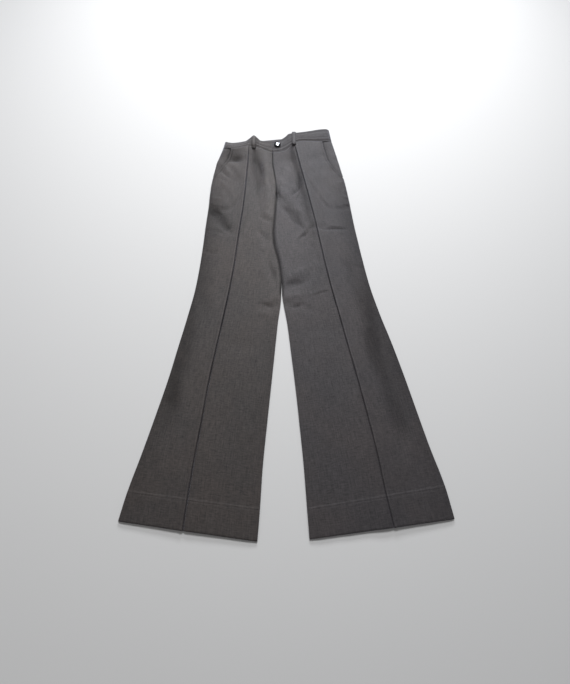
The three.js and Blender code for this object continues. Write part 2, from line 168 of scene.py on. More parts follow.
rightRelief = curvesOf(rows("at seam core valley valleyAt crest flank rim",
    (-18, 3.9, 4.9, 5.4, 80, 7.8, 5.7, 4.9), (120, 3.9, 5.1, 6.0, 76, 9.0, 6.6, 5.1),
    (280, 3.9, 5.4, 6.5, 70, 10.2, 7.4, 5.4), (440, 3.9, 5.8, 6.8, 60, 11.6, 8.2, 5.7),
    (520, 3.9, 6.6, 6.9, 50, 13.0, 9.0, 6.0), (600, 4.6, 8.0, 7.2, 42, 14.6, 9.8, 6.2),
    (660, 6.5, 9.4, 7.8, 36, 16.0, 10.6, 6.4), (720, 9.0, 10.8, 8.4, 33, 17.6, 11.4, 6.7),
    (780, 12.0, 12.2, 8.9, 31, 19.2, 12.2, 7.2), (860, 13.6, 13.4, 9.4, 29, 21.2, 13.2, 8.0),
    (940, 14.6, 14.2, 9.8, 28, 23.2, 14.2, 8.8), (1000, 14.7, 14.4, 11.0, 28, 24.6, 15.6, 9.0)),
    "at")
leftSeam = rows("x y z", (-166, 1000, 12), (-148, 993, 17), (-127, 988, 21), (-89, 996, 22),
    (-57, 997, 15), (-38, 989, 12.8), (-17, 981, 12.4), (14, 981, 11.6))
leftTop = rows("x y z", (-159, 1034, 5), (-136, 1028, 6), (-99, 1029, 11), (-84, 1033, 18),
    (-72, 1037, 24), (-62, 1033, 19), (-52, 1029, 13), (-38, 1027, 12.4), (-17, 1027, 12.2), (14, 1027, 12))
rightSeam = rows("x y z", (-16.7, 977, 14.8), (0, 979, 14.6), (17, 984, 15.2), (35, 994, 19),
    (50, 1004, 25), (66, 1012, 24), (111, 1015, 21), (140, 1024, 14), (164, 1033, 8))
rightTop = rows("x y z", (-16.7, 1024, 14.8), (0, 1027, 15.2), (12, 1031, 16.4),
    (22, 1036, 19.5), (33, 1043, 24), (52, 1045, 26), (97, 1054, 25), (128, 1067, 20),
    (159, 1083, 9))
backSeam = curvesOf(rows("x y", (-165, 981), (-90, 990), (0, 1001), (90, 1015), (160, 1029)), "x")
backTop = curvesOf(rows("x y", (-159, 1027), (-90, 1036), (0, 1047), (90, 1061), (158, 1075)), "x")
leftPocket = curvesOf(rows("y x", (880, -193), (895, -185), (931, -162), (961, -146),
    (1040, -128)), "y")
rightPocket = curvesOf(rows("y x", (874, 192), (902, 172), (924, 158), (957, 144),
    (1060, 128)), "y")

# line: strength of the painted shade line beside each crease
legs = {
    "left": {"side": -1, "groove": 3.4, "line": 0.68, "outline": leftOutline, "relief": leftRelief, "pocket": leftPocket,
             "seam": curvesOf(leftSeam, "x"), "outEnd": -166, "creaseEnd": -89},
    "right": {"side": 1, "groove": 2.2, "line": 0.52, "outline": rightOutline, "relief": rightRelief, "pocket": rightPocket,
              "seam": curvesOf(rightSeam, "x"), "outEnd": 164, "creaseEnd": 50},
}

# soft troughs (lift below zero) and ridges, each from one point to another
folds = rows("x y toX toY width lift",
    (-65, 972, -58, 858, 13, -2.2),       # trough beside the left crease
    (-38, 978, -36, 880, 12, 1.6),        # ridge beside the fly
    (-186, 768, -160, 738, 17, -1.8),     # left hip dents
    (-156, 722, -138, 706, 14, -1.4),
    (-150, 962, -128, 925, 12, 1.6),      # left pocket mouth
    (27, 786, 46, 738, 14, -2.0),         # hollow right of the fork
    (8, 862, 26, 800, 12, 1.4),
    (-50, 468, -12, 480, 10, -1.4),       # across the inner thighs
    (12, 480, 60, 466, 10, -1.4),
    (95, 706, 165, 703, 8, -1.2),
    (223, 520, 214, 353, 20, -1.6),       # down the right flare
    (214, 353, 250, 190, 22, -1.8),
    (-224, 400, -252, 200, 20, -1.3),     # down the left flare
    (-4, 838, -2, 812, 7, -3.4))          # pucker at the fly's lower end

# the finer creases that only the drawn cloth has
creases = rows("x y toX toY width lift",
    (110, 702, 168, 700, 3.0, -1.6), (112, 709, 166, 707, 4.0, 1.2),        # right thigh, crosswise
    (46, 668, 82, 701, 5.0, -1.8), (40, 679, 78, 711, 7.0, 1.4),
    (184, 585, 212, 583, 3.0, -0.9), (66, 497, 122, 509, 3.4, -1.3), (72, 506, 118, 517, 6.0, 0.9),
    (22, 470, 46, 474, 4.5, -2.2), (10, 498, 50, 508, 9.0, 1.6),            # inner right thigh
    (6, 524, 60, 546, 9.0, -3.4), (22, 562, 74, 580, 12.0, 1.8),
    (8, 792, 44, 728, 9.0, -3.6), (40, 800, 60, 742, 8.0, 1.6),             # hollow below the fly
    (46, 795, 60, 822, 3.6, -1.8), (38, 806, 52, 830, 4.5, 1.2),
    (2, 820, 26, 790, 5.0, -1.6), (-4, 834, -1, 822, 5.0, -3.6),
    (18, 950, 26, 868, 12.0, 2.6), (2, 860, 30, 836, 8.0, -1.0),
    (167, 866, 192, 863, 3.0, 1.1), (180, 813, 198, 812, 3.4, 1.2), (178, 785, 198, 784, 2.8, -1.7),
    (186, 842, 194, 842, 3.0, -1.0), (60, 905, 34, 790, 9.0, -3.0),         # beside the right crease
    (44, 760, 74, 660, 7.0, -1.8), (96, 610, 108, 560, 6.0, -0.7),
    (168, 619, 180, 543, 16.0, -1.8), (180, 543, 206, 417, 20.0, -2.0),     # right leg, long hollow
    (206, 417, 226, 268, 20.0, -1.3), (226, 268, 259, 126, 20.0, -0.9),
    (60, 440, 70, 250, 26.0, 1.2), (150, 330, 170, 160, 24.0, 1.0), (60, 420, 150, 398, 20.0, -0.8),
    (-190, 776, -160, 742, 13.0, -3.6), (-158, 724, -138, 700, 11.0, -3.0), # left hip dents
    (-182, 748, -150, 706, 12.0, 1.0), (-186, 812, -160, 800, 6.0, 1.2),
    (-196, 520, -180, 420, 14.0, -1.2), (-258, 267, -230, 211, 18.0, -1.0), (-240, 350, -262, 200, 15.0, -0.9),
    (-92, 217, -80, 85, 16.0, 0.9), (-66, 226, -74, 75, 7.0, -1.3), (-40, 440, -60, 240, 14.0, 1.1),
    (-161, 5, -141, 40, 9.0, -0.9), (-120, -20, -112, 30, 8.0, -0.8), (-150, 380, -60, 372, 24.0, -0.9),
    (-28, 612, -16, 536, 9.0, -3.0), (-50, 622, -36, 548, 10.0, 1.4),       # left of the centre seam
    (-52, 478, -22, 472, 4.0, -2.0), (-58, 456, -22, 452, 11.0, 1.4),
    (-56, 754, -24, 722, 6.0, -1.7), (-48, 764, -20, 738, 6.0, 1.2), (-62, 695, -28, 668, 6.0, -1.7),
    (-66, 664, -24, 640, 9.0, 1.0), (-92, 746, -96, 664, 8.0, -1.4), (-78, 742, -84, 640, 10.0, 1.0),
    (-58, 826, -78, 930, 8.0, -1.6), (-64, 962, -54, 884, 11.0, -3.4), (-30, 900, -20, 842, 6.0, -1.2),
    (-40, 960, -32, 850, 9.0, 1.8), (-60, 836, -52, 752, 7.0, -1.4), (-34, 828, -40, 760, 8.0, 1.4),
    (-132, 905, -112, 850, 12.0, -1.6), (-150, 960, -106, 944, 13.0, -4.4), # left flank
    (-150, 980, -100, 972, 9.0, -2.6), (-34, 936, -24, 700, 13.0, 1.2), (30, 700, 50, 600, 22.0, 1.4),
    (-172, 918, -140, 884, 6.0, -2.2), (-164, 934, -134, 900, 5.0, 2.0), (-176, 872, -150, 846, 8.0, 1.4),
    (-170, 840, -150, 800, 8.0, 1.0), (-184, 700, -150, 690, 5.0, -0.9), (-196, 640, -160, 628, 6.0, -0.9),
    (100, 905, 122, 880, 9.0, 1.0), (84, 930, 112, 962, 11.0, -0.9), (120, 700, 110, 640, 12.0, 0.9))

# the pocket bags press through the fronts: inside each line the cloth stands a little higher
bagLines = {
    "left": curveThrough([(-190, 792), (-168, 782), (-146, 776), (-124, 792), (-106, 838), (-98, 880)]),
    "right": curveThrough([(84, 871), (101, 836), (123, 793), (143, 775), (164, 777), (194, 785)]),
}


def ridgeSum(table, x, y, drift=0.0):
    lift = 0.0
    if drift:
        warp = noise.noise_vector(Vector((x * 0.028, y * 0.028, 3.0)))
        x, y = x + drift * warp.x, y + drift * warp.y
    for f in table:
        dx, dy = f["toX"] - f["x"], f["toY"] - f["y"]
        width = f["width"]
        length = math.hypot(dx, dy)
        off = ((x - f["x"]) * dy - (y - f["y"]) * dx) / length
        if abs(off) > 3 * width:
            continue
        along = ((x - f["x"]) * dx + (y - f["y"]) * dy) / length
        past = max(0.0, -along, along - length)
        if past > 4 * width:
            continue
        fade = 1.0 if not drift else 0.35 + 0.65 * math.sin(math.pi * min(1.0, max(0.0, along / length)))
        lift += f["lift"] * fade * math.exp(-(off / width) ** 2 - (past / (2.2 * width)) ** 2)
    return lift


def section(leg, at):
    s = {"at": at}
    flat = min(at, bandFoot)
    for name in leg["outline"]:
        s[name] = leg["outline"][name](flat)
    for name in leg["relief"]:
        s[name] = leg["relief"][name](at)
    if at >= forkAt:
        parting = 1.35 * (1 - smooth(505, 560, s["inY"]))
        s["inX"] = centreLine["x"](s["inY"]) + leg["side"] * (seamGap / 2 + parting)
    s["bend"] = max(0.0, (at - bandFoot) / (seamAt - bandFoot))
    s["outX"] += (leg["outEnd"] - s["outX"]) * s["bend"]
    s["creaseX"] += (leg["creaseEnd"] - s["creaseX"]) * s["bend"]
    inner = abs(s["creaseX"] - s["inX"])
    outer = abs(s["outX"] - s["creaseX"])
    s["inner"], s["outer"] = inner, outer
    s["innerHeight"] = curveThrough([(0, s["crest"]), (min(s["valleyAt"], inner * 0.62), s["valley"]),
                                     (inner - edgeRoll, s["core"]), (inner, s["seam"])])
    s["outerHeight"] = curveThrough([(0, s["crest"]), (outer / 2, s["flank"]),
                                     (outer - edgeRoll, s["rim"]), (outer, edgeHeight)])
    return s


def facePoint(leg, s, away, fine=True):
    # a point of the front's top face, `away` mm from the crease, side seam positive
    side = leg["side"]
    x = s["creaseX"] + side * away
    share = (x - s["inX"]) / (s["outX"] - s["inX"])
    y = s["inY"] + (s["outY"] - s["inY"]) * share
    z = s["innerHeight"](-away) if away < 0 else s["outerHeight"](away)
    if not fine:
        z += 1.6 * bell(away, 4.0) * smooth(-18, 60, s["at"])
    if s["bend"] > 0:
        seamX = min(x, -17) if side < 0 else max(x, -16.7)
        y += (leg["seam"]["y"](seamX) - seamGap / 2 - bandFoot) * s["bend"]
        roll = min(1.0, abs(s["outX"] - x) / edgeRoll)
        goal = edgeHeight + (leg["seam"]["z"](seamX) - edgeHeight) * math.sqrt(roll)
        z += (goal - z) * smooth(0, 1, s["bend"])
    calm = 1 - s["bend"]
    z += ridgeSum(folds, x, y) * calm
    if fine:
        z += fineRelief(leg, s, x, y, away) * min(1.0, calm * 1.4 + 0.15)
    nearHem = 1 - smooth(hemAt + hemDepth - 1.5, hemAt + hemDepth + 1.5, s["at"])
    floor = edgeHeight - 0.2 if fine else edgeHeight
    z = max(z, floor) + hemLift * nearHem
    return Vector((x, y, z))


def fineRelief(leg, s, x, y, away):
    side = leg["side"]
    toSide = s["outer"] - away
    toIn = s["inner"] + away
    # the sewn crease: a narrow tuck that leans towards the fly, with a trough beside it
    tuck = 1.5 * smooth(-2.1, -1.0, away) * bell(max(0.0, away), 4.2)
    tuck -= leg["groove"] * bell(away + 2.9, 1.25) + 0.8 * bell(away + 5.5, 4.0)
    lift = tuck * (0.85 + 0.3 * noise.noise(Vector((s["at"] * 0.02, side * 3.1, 0))))
    lift -= 2.6 * bell(toIn - 1.0, 1.9) * smooth(505, 530, s["at"]) * (1 - 0.75 * smooth(815, 835, s["at"]))
    lift += 0.5 * side * bell(toIn, 6.0) * smooth(825, 850, s["at"])      # the fly laps to the left
    lift -= 0.5 * bell(toIn - 9, 5) * (1 - smooth(500, 560, s["at"]))      # inside seam allowance
    fold = ridgeSum(creases, x, y, 9.0)
    lift += fold
    # slow unevenness of laid cloth, long down the leg
    low = noise.noise(Vector((x * 0.011, y * 0.0042, 1.7 + side)))
    mid = noise.noise(Vector((x * 0.034, y * 0.012, 4.2 + side)))
    small = noise.noise(Vector((x * 0.075, y * 0.05, 9.1)))
    lift += (1.3 * low + 0.75 * mid + 0.2 * small) * smooth(0, 26, toSide) * smooth(0, 22, toIn)
    # seam puckers: short cross ripples dying away from the stitched edge
    ripple = noise.noise(Vector((y * 0.085, side * 2.0, 6.6)))
    lift += 0.55 * ripple * bell(toSide - 5, 9) * smooth(560, 640, s["at"])
    lift += 0.22 * ripple * bell(toSide - 4, 7)
    inner = noise.noise(Vector((y * 0.1, side * 5.0, 2.2)))
    lift += 0.35 * inner * bell(toIn - 4, 6) * smooth(500, 560, s["at"])
    lift -= 0.5 * bell(toSide - 3.2, 1.3)     # the side seam's pressed line
    # pressed-through pocket bag
    line = bagLines["left" if side < 0 else "right"]
    inside = (x < -98) if side < 0 else (x > 84)
    if inside and s["at"] > 700:
        gap = y - line(x)
        edge = noise.noise(Vector((x * 0.05, y * 0.03, 8.8)))
        lift += (1.2 + 0.9 * edge) * (smooth(-6, 6, gap) - 0.6 * bell(gap + 9, 7))
    # stitch lines sink a little: pocket mouth and hem
    if s["at"] > pocketAt and "edge" in s:
        fromEdge = s["edge"] - away
        lift -= 0.7 * bell(fromEdge - 6.5, 1.2)
        lift += 0.9 * bell(fromEdge - 2.6, 2.4)
        lift += 0.9 * noise.noise(Vector((y * 0.1, 3.3, 1.1))) * bell(fromEdge - 9, 9)
    lift -= 0.35 * bell(s["at"] - (hemAt + hemDepth - 4), 1.6)
    lift += 0.16 * noise.noise(Vector((x * 0.14, 1.0, 5.5))) * bell(s["at"] - 38, 14)
    return lift


def shadeAt(leg, s, p, away):
    # painted shade, and painted highlight where it goes below zero: darker in the pressed lines, seams, troughs,
    # the steep flank, the pocket mouths and towards the outer edges, lighter on the tuck's edge, on ridges and
    # across the middle
    side = leg["side"]
    toSide, toIn = s["outer"] - away, s["inner"] + away
    fade = 0.45 + 0.55 * smooth(0, 420, s["at"])
    uneven = 0.8 + 0.5 * noise.noise(Vector((s["at"] * 0.013, side * 4.0, 0.5)))
    # painted shade: a dark line in the groove beside the crease, standing for the shadow under the tuck
    shade = leg["line"] * fade * uneven * bell(away + 2.7, 1.35)
    shade -= 0.22 * fade * bell(away - 0.6, 1.5)                              # painted highlight: the tuck's lit edge
    # painted highlight: a broad lighter area across the middle, from the thighs up to below the waist
    shade -= 0.17 * bell(p.x, 62) * smooth(400, 540, s["at"]) * (1 - smooth(850, 960, s["at"]))
    # painted shade: a dark line down the centre seam from the fork to the fly, and along the fly edge
    fork = smooth(506, 522, s["at"])
    fly = smooth(818, 834, s["at"])
    shade += 0.78 * bell(toIn - 0.5, 1.8) * fork * (1 - fly) + 0.75 * bell(toIn, 1.3) * fly
    # painted shade in the troughs of the folds and creases, painted highlight on their ridges
    sunk = -ridgeSum(creases, p.x, p.y, 9.0) - ridgeSum(folds, p.x, p.y)
    shade += 0.34 * smooth(0.3, 4.0, sunk) - 0.10 * smooth(0.3, 2.5, -sunk)
    # painted shade towards the outer edges of the legs, growing from the knees up and fading out below the waist
    flare = 0.10 + 0.20 * smooth(120, 330, s["at"])
    shade += flare * (1 - smooth(0, 60, toSide)) * (1 - smooth(760, 960, s["at"]))
    if side > 0:
        shade += 0.24 * bell(away + 11, 9) * smooth(600, 820, s["at"])       # painted shade on the steep inner flank of the right crease
    # painted shadow along the pocket mouth and its stitch line, broken up with noise
    if s["at"] > pocketAt:
        fromEdge = s["edge"] - away
        pucker = 0.75 + 0.5 * noise.noise(Vector((p.y * 0.1, 7.0, side)))
        shade += 0.55 * pucker * bell(fromEdge - 6.5, 1.5) + 0.5 * bell(fromEdge, 1.2)
    return max(-0.35, min(0.95, shade))


def pocketAway(leg, s):
    away = s["outer"]
    for _ in range(4):
        p = facePoint(leg, s, away, False)
        away = min(s["outer"], abs(leg["pocket"]["x"](p.y) - s["creaseX"]))
    return away


print("stage form")


# ---- materials ----
def newGroup(name, inputs, outputs):
    group = bpy.data.node_groups.new(name, "ShaderNodeTree")
    for label, kind, value in inputs:
        socket = group.interface.new_socket(label, in_out="INPUT", socket_type=kind)
        if value is not None:
            socket.default_value = value
    for label, kind in outputs:
        group.interface.new_socket(label, in_out="OUTPUT", socket_type=kind)
    source = group.nodes.new("NodeGroupInput")
    target = group.nodes.new("NodeGroupOutput")
    return group, source, target


def mathNode(tree, operation, a, b=None, c=None, clamp=False):
    node = tree.nodes.new("ShaderNodeMath")
    node.operation = operation
    node.use_clamp = clamp
    for i, value in enumerate((a, b, c)):
        if value is None:
            continue
        if isinstance(value, (int, float)):
            node.inputs[i].default_value = value
        else:
            tree.links.new(value, node.inputs[i])
    return node.outputs[0]


def rangeNode(tree, value, low, high, toLow, toHigh):
    node = tree.nodes.new("ShaderNodeMapRange")
    node.interpolation_type = "SMOOTHSTEP"
    tree.links.new(value, node.inputs["Value"])
    node.inputs["From Min"].default_value = low
    node.inputs["From Max"].default_value = high
    node.inputs["To Min"].default_value = toLow
    node.inputs["To Max"].default_value = toHigh
    return node.outputs["Result"]


def noiseNode(tree, vector, scale, detail=2.0, rough=0.5):
    node = tree.nodes.new("ShaderNodeTexNoise")
    tree.links.new(vector, node.inputs["Vector"])
    node.inputs["Scale"].default_value = scale
    node.inputs["Detail"].default_value = detail
    node.inputs["Roughness"].default_value = rough
    return node.outputs["Fac"]


def stretchNode(tree, vector, scale):
    node = tree.nodes.new("ShaderNodeMapping")
    node.inputs["Scale"].default_value = scale
    tree.links.new(vector, node.inputs["Vector"])
    return node.outputs["Vector"]


def mixColour(tree, factor, a, b, blend="MIX"):
    node = tree.nodes.new("ShaderNodeMix")
    node.data_type = "RGBA"
    node.blend_type = blend
    sockets = [s for s in node.inputs if s.enabled]
    for socket, value in zip((node.inputs[0], node.inputs[6], node.inputs[7]), (factor, a, b)):
        if isinstance(value, (tuple, float, int)):
            socket.default_value = value
        else:
            tree.links.new(value, socket)
    return node.outputs[2]


def weaveGroup():
    # plain hopsack weave from grain coordinates in metres: thread height and slub tone
    group, source, target = newGroup("weave", [
        ("Grain", "NodeSocketVector", None),
        ("Pitch", "NodeSocketFloat", 0.0009),
        ("Slub", "NodeSocketFloat", 1.0)],
        [("Height", "NodeSocketFloat"), ("Tone", "NodeSocketFloat")])
    split = group.nodes.new("ShaderNodeSeparateXYZ")
    group.links.new(source.outputs["Grain"], split.inputs[0])
    turns = mathNode(group, "DIVIDE", math.pi, source.outputs["Pitch"])
    warpAngle = mathNode(group, "MULTIPLY", split.outputs[0], turns)
    weftAngle = mathNode(group, "MULTIPLY", split.outputs[1], turns)
    warp = mathNode(group, "ABSOLUTE", mathNode(group, "SINE", warpAngle))
    weft = mathNode(group, "ABSOLUTE", mathNode(group, "SINE", weftAngle))
    over = mathNode(group, "MULTIPLY", mathNode(group, "SINE", warpAngle),
                    mathNode(group, "SINE", weftAngle))
    pick = rangeNode(group, over, -0.25, 0.25, 0.0, 1.0)
    mixed = group.nodes.new("ShaderNodeMix")
    group.links.new(pick, mixed.inputs[0])
    group.links.new(warp, mixed.inputs[2])
    group.links.new(weft, mixed.inputs[3])
    group.links.new(mixed.outputs[0], target.inputs["Height"])
    down = noiseNode(group, stretchNode(group, source.outputs["Grain"], (430.0, 34.0, 1.0)), 1.0, 2.0, 0.6)
    cross = noiseNode(group, stretchNode(group, source.outputs["Grain"], (70.0, 420.0, 1.0)), 1.0, 2.0, 0.6)
    wide = noiseNode(group, stretchNode(group, source.outputs["Grain"], (240.0, 260.0, 1.0)), 1.0, 2.0, 0.5)
    both = mathNode(group, "ADD", mathNode(group, "ADD", down, cross), mathNode(group, "MULTIPLY", wide, 0.6))
    centred = mathNode(group, "SUBTRACT", both, 1.3)
    slub = mathNode(group, "MULTIPLY", centred, source.outputs["Slub"])
    group.links.new(slub, target.inputs["Tone"])
    return group


def wearGroup():
    # slow patches of tone and a few specks of lint
    group, source, target = newGroup("wear", [
        ("Place", "NodeSocketVector", None), ("Patch", "NodeSocketFloat", 1.0)],
        [("Patch", "NodeSocketFloat"), ("Lint", "NodeSocketFloat")])
    patch = noiseNode(group, source.outputs["Place"], 7.0, 3.0, 0.55)
    centred = mathNode(group, "SUBTRACT", patch, 0.5)
    group.links.new(mathNode(group, "MULTIPLY", centred, source.outputs["Patch"]), target.inputs["Patch"])
    cells = group.nodes.new("ShaderNodeTexVoronoi")
    cells.inputs["Scale"].default_value = 46.0
    group.links.new(source.outputs["Place"], cells.inputs["Vector"])
    pick = group.nodes.new("ShaderNodeSeparateColor")
    group.links.new(cells.outputs["Color"], pick.inputs[0])
    rare = mathNode(group, "GREATER_THAN", pick.outputs[0], 0.985)
    near = mathNode(group, "LESS_THAN", cells.outputs["Distance"], 0.035)
    group.links.new(mathNode(group, "MULTIPLY", rare, near), target.inputs["Lint"])
    return group


groups = {"weave": weaveGroup(), "wear": wearGroup()}


def useGroup(tree, name):
    node = tree.nodes.new("ShaderNodeGroup")
    node.node_tree = groups[name]
    return node


def clothMaterial(name, base, warm):
    material = bpy.data.materials.new(name)
    material.use_nodes = True
    tree = material.node_tree
    shader = tree.nodes["Principled BSDF"]
    grain = tree.nodes.new("ShaderNodeUVMap")
    grain.uv_map = "grain"
    place = tree.nodes.new("ShaderNodeTexCoord")
    weave = useGroup(tree, "weave")
    tree.links.new(grain.outputs[0], weave.inputs["Grain"])
    wear = useGroup(tree, "wear")
    tree.links.new(place.outputs["Object"], wear.inputs["Place"])
    tone = mathNode(tree, "ADD", mathNode(tree, "MULTIPLY", weave.outputs["Tone"], 1.3),
                    mathNode(tree, "MULTIPLY", wear.outputs["Patch"], 0.45))
    thread = mathNode(tree, "MULTIPLY", mathNode(tree, "SUBTRACT", weave.outputs["Height"], 0.6), 0.35)
    gain = mathNode(tree, "ADD", mathNode(tree, "ADD", tone, thread), 1.0)
    # painted shade from the shade attribute darkens the base colour; below zero it is a painted highlight
    paintedShadeNode = tree.nodes.new("ShaderNodeAttribute")
    paintedShadeNode.attribute_name = "shade"
    unshadedGain = mathNode(tree, "SUBTRACT", 1.0, paintedShadeNode.outputs["Fac"])
    gain = mathNode(tree, "MULTIPLY", mathNode(tree, "MAXIMUM", gain, 0.3), unshadedGain)
    scaled = tree.nodes.new("ShaderNodeVectorMath")
    scaled.operation = "SCALE"
    hue = mixColour(tree, rangeNode(tree, wear.outputs["Patch"], -0.2, 0.2, 0.0, 1.0), base, warm)
    tree.links.new(hue, scaled.inputs[0])
    tree.links.new(gain, scaled.inputs["Scale"])
    colour = mixColour(tree, wear.outputs["Lint"], scaled.outputs[0], (0.62, 0.6, 0.56, 1.0))
    tree.links.new(colour, shader.inputs["Base Color"])
    rough = mathNode(tree, "ADD", mathNode(tree, "MULTIPLY", weave.outputs["Tone"], -0.12), 0.62, clamp=True)
    tree.links.new(rough, shader.inputs["Roughness"])
    # the painted shade also dims the specular and the sheen
    tree.links.new(mathNode(tree, "MULTIPLY", unshadedGain, 0.46), shader.inputs["Specular IOR Level"])
    tree.links.new(mathNode(tree, "MULTIPLY", unshadedGain, 0.30), shader.inputs["Sheen Weight"])
    shader.inputs["Sheen Roughness"].default_value = 0.38
    shader.inputs["Sheen Tint"].default_value = (0.80, 0.84, 1.0, 1.0)
    bump = tree.nodes.new("ShaderNodeBump")
    bump.inputs["Strength"].default_value = 0.55
    bump.inputs["Distance"].default_value = 0.00035
    relief = mathNode(tree, "ADD", weave.outputs["Height"], mathNode(tree, "MULTIPLY", weave.outputs["Tone"], 0.8))
    tree.links.new(relief, bump.inputs["Height"])
    tree.links.new(bump.outputs[0], shader.inputs["Normal"])
    return material


def threadMaterial():
    material = bpy.data.materials.new("thread")
    material.use_nodes = True
    tree = material.node_tree
    shader = tree.nodes["Principled BSDF"]
    place = tree.nodes.new("ShaderNodeTexCoord")
    twist = noiseNode(tree, place.outputs["Object"], 900.0, 2.0)
    colour = mixColour(tree, twist, (0.030, 0.028, 0.031, 1.0), (0.085, 0.080, 0.086, 1.0))
    tree.links.new(colour, shader.inputs["Base Color"])
    shader.inputs["Roughness"].default_value = 0.6
    return material


def metalMaterial(name, colour, roughness):
    material = bpy.data.materials.new(name)
    material.use_nodes = True
    tree = material.node_tree
    shader = tree.nodes["Principled BSDF"]
    place = tree.nodes.new("ShaderNodeTexCoord")
    wear = useGroup(tree, "wear")
    tree.links.new(place.outputs["Object"], wear.inputs["Place"])
    scuff = noiseNode(tree, place.outputs["Object"], 420.0, 4.0, 0.65)
    rough = mathNode(tree, "ADD", mathNode(tree, "MULTIPLY", scuff, 0.14), roughness - 0.05)
    tree.links.new(rough, shader.inputs["Roughness"])
    dull = (colour[0] * 0.7, colour[1] * 0.7, colour[2] * 0.7, 1.0)
    tree.links.new(mixColour(tree, rangeNode(tree, scuff, 0.55, 0.75, 0.0, 1.0), colour, dull),
                   shader.inputs["Base Color"])
    shader.inputs["Metallic"].default_value = 1.0
    return material


clothLeft = clothMaterial("cloth_left", (0.0345, 0.0280, 0.0252, 1.0), (0.0370, 0.0285, 0.0245, 1.0))
clothRight = clothMaterial("cloth_right", (0.0328, 0.0280, 0.0290, 1.0), (0.0345, 0.0280, 0.0275, 1.0))
thread = threadMaterial()
capMetal = metalMaterial("button_cap", (0.80, 0.81, 0.83, 1.0), 0.16)
# near-black rim metal: painted shadow ring around the cap
rimMetal = metalMaterial("button_rim", (0.012, 0.012, 0.014, 1.0), 0.6)
print("stage materials")


# ---- shells ----
def toFrame(p):
    return Vector((p.x * mm, (p.y - middleY) * mm, p.z * mm))


def shell(name, upper, thick, material, replaced, grain, bulge=0.5, shade=None):
    # a closed wall under a grid of top points, with its four edges rounded
    count, width = len(upper), len(upper[0])
    lower = [[Vector((p.x, p.y, p.z - thick)) for p in line] for line in upper]
    verts = [toFrame(p) for line in upper for p in line]
    verts += [toFrame(p) for line in lower for p in line]
    half = count * width
    top = lambda i, j: i * width + j
    faces, uvs = [], []

    def corner(i, j):
        return grain[i][j]

    for i in range(count - 1):
        for j in range(width - 1):
            square = ((i, j), (i, j + 1), (i + 1, j + 1), (i + 1, j))
            faces.append([top(*c) for c in square])
            uvs.append([corner(*c) for c in square])
            faces.append([half + top(*c) for c in reversed(square)])
            uvs.append([corner(*c) for c in reversed(square)])
    ring = [(0, j) for j in range(width)] + [(i, width - 1) for i in range(1, count)]
    ring += [(count - 1, j) for j in range(width - 2, -1, -1)] + [(i, 0) for i in range(count - 2, 0, -1)]
    mids = []
    for i, j in ring:
        p = upper[i][j]
        q = upper[min(max(i, 1), count - 2)][min(max(j, 1), width - 2)]
        away = Vector((p.x - q.x, p.y - q.y, 0))
        away = away.normalized() * bulge if away.length > 1e-6 else Vector((0, 0, 0))
        mids.append(len(verts))
        verts.append(toFrame(Vector((p.x + away.x, p.y + away.y, p.z - thick / 2))))
    for k in range(len(ring)):
        a, b = ring[k], ring[(k + 1) % len(ring)]
        ma, mb = mids[k], mids[(k + 1) % len(ring)]
        faces.append([top(*b), top(*a), ma, mb])
        uvs.append([corner(*b), corner(*a), corner(*a), corner(*b)])
        faces.append([mb, ma, half + top(*a), half + top(*b)])
        uvs.append([corner(*b), corner(*a), corner(*a), corner(*b)])
    mesh = bpy.data.meshes.new(name)
    mesh.from_pydata([tuple(v) for v in verts], [], faces)
    layer = mesh.uv_layers.new(name="grain")
    flat = [value for face in uvs for uv in face for value in uv]
    layer.data.foreach_set("uv", flat)
    if shade:
        tops = [value for line in shade for value in line]
        tone = mesh.attributes.new("shade", "FLOAT", "POINT")
        tone.data.foreach_set("value", tops + tops + [shade[i][j] for i, j in ring])
    across = upper[0][-1] - upper[0][0]
    along = upper[-1][0] - upper[0][0]
    if across.x * along.y - across.y * along.x < 0:
        mesh.flip_normals()
    mesh.polygons.foreach_set("use_smooth", [True] * len(mesh.polygons))
    mesh.materials.append(material)
    mesh.update()
    piece = bpy.data.objects.new(name, mesh)
    bpy.context.scene.collection.objects.link(piece)
    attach(piece, "root")
    if replaced:
        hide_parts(replaced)
    return piece


def spread(low, high, count, focus=1.0):
    return [low + (high - low) * (k / count) ** focus for k in range(count + 1)]


def stations(quick):
    step = 9.0 if quick else 3.6
    marks = []
    at = hemAt
    while at < seamAt - 0.4 * step:
        marks.append(at)
        near = abs(at - (hemAt + hemDepth - 2)) < 8
        at += 1.4 if near else step
    return marks + [seamAt]


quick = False


def frontPiece(name, leg, material):
    inCount, outCount = (20, 24) if quick else (40, 46)
    upper, grain, shade = [], [], []
    for at in stations(quick):
        s = section(leg, at)
        s["edge"] = s["outer"] if at < pocketAt else pocketAway(leg, s)
        line = [-a for a in spread(8.2, s["inner"], inCount, 1.2)]
        line += [-7.2, -5.8, -4.8, -4.1, -3.5, -2.9, -2.4, -2.0, -1.6, -1.2, -0.8, -0.3, 0.4, 1.4, 2.8, 4.6]
        line += spread(6.5, s["edge"], outCount, 1.2)
        line.sort()
        step = (s["edge"] - 6.5) / outCount
        line[1] = -s["inner"] + 1.2
        line[-2] = s["edge"] - min(1.2, 0.8 * step)      # the last columns crowd where the edge rolls
        line[-3] = s["edge"] - min(3.2, 1.9 * step)
        line[-4] = s["edge"] - min(5.6, 3.1 * step)
        upper.append([facePoint(leg, s, away) for away in line])
        grain.append([((away + 260) * mm, at * mm) for away in line])
        shade.append([shadeAt(leg, s, p, away) for p, away in zip(upper[-1], line)])
    return shell(name, upper, 1.5, material, name, grain, shade=shade)


panels = {
    "left": {"name": "front_left", "material": clothLeft, "flat": (0.31, 1.05)},
    "right": {"name": "front_right", "material": clothRight, "flat": (0.33, 1.08)},
}
for key, spec in panels.items():
    frontPiece(spec["name"], legs[key], spec["material"])


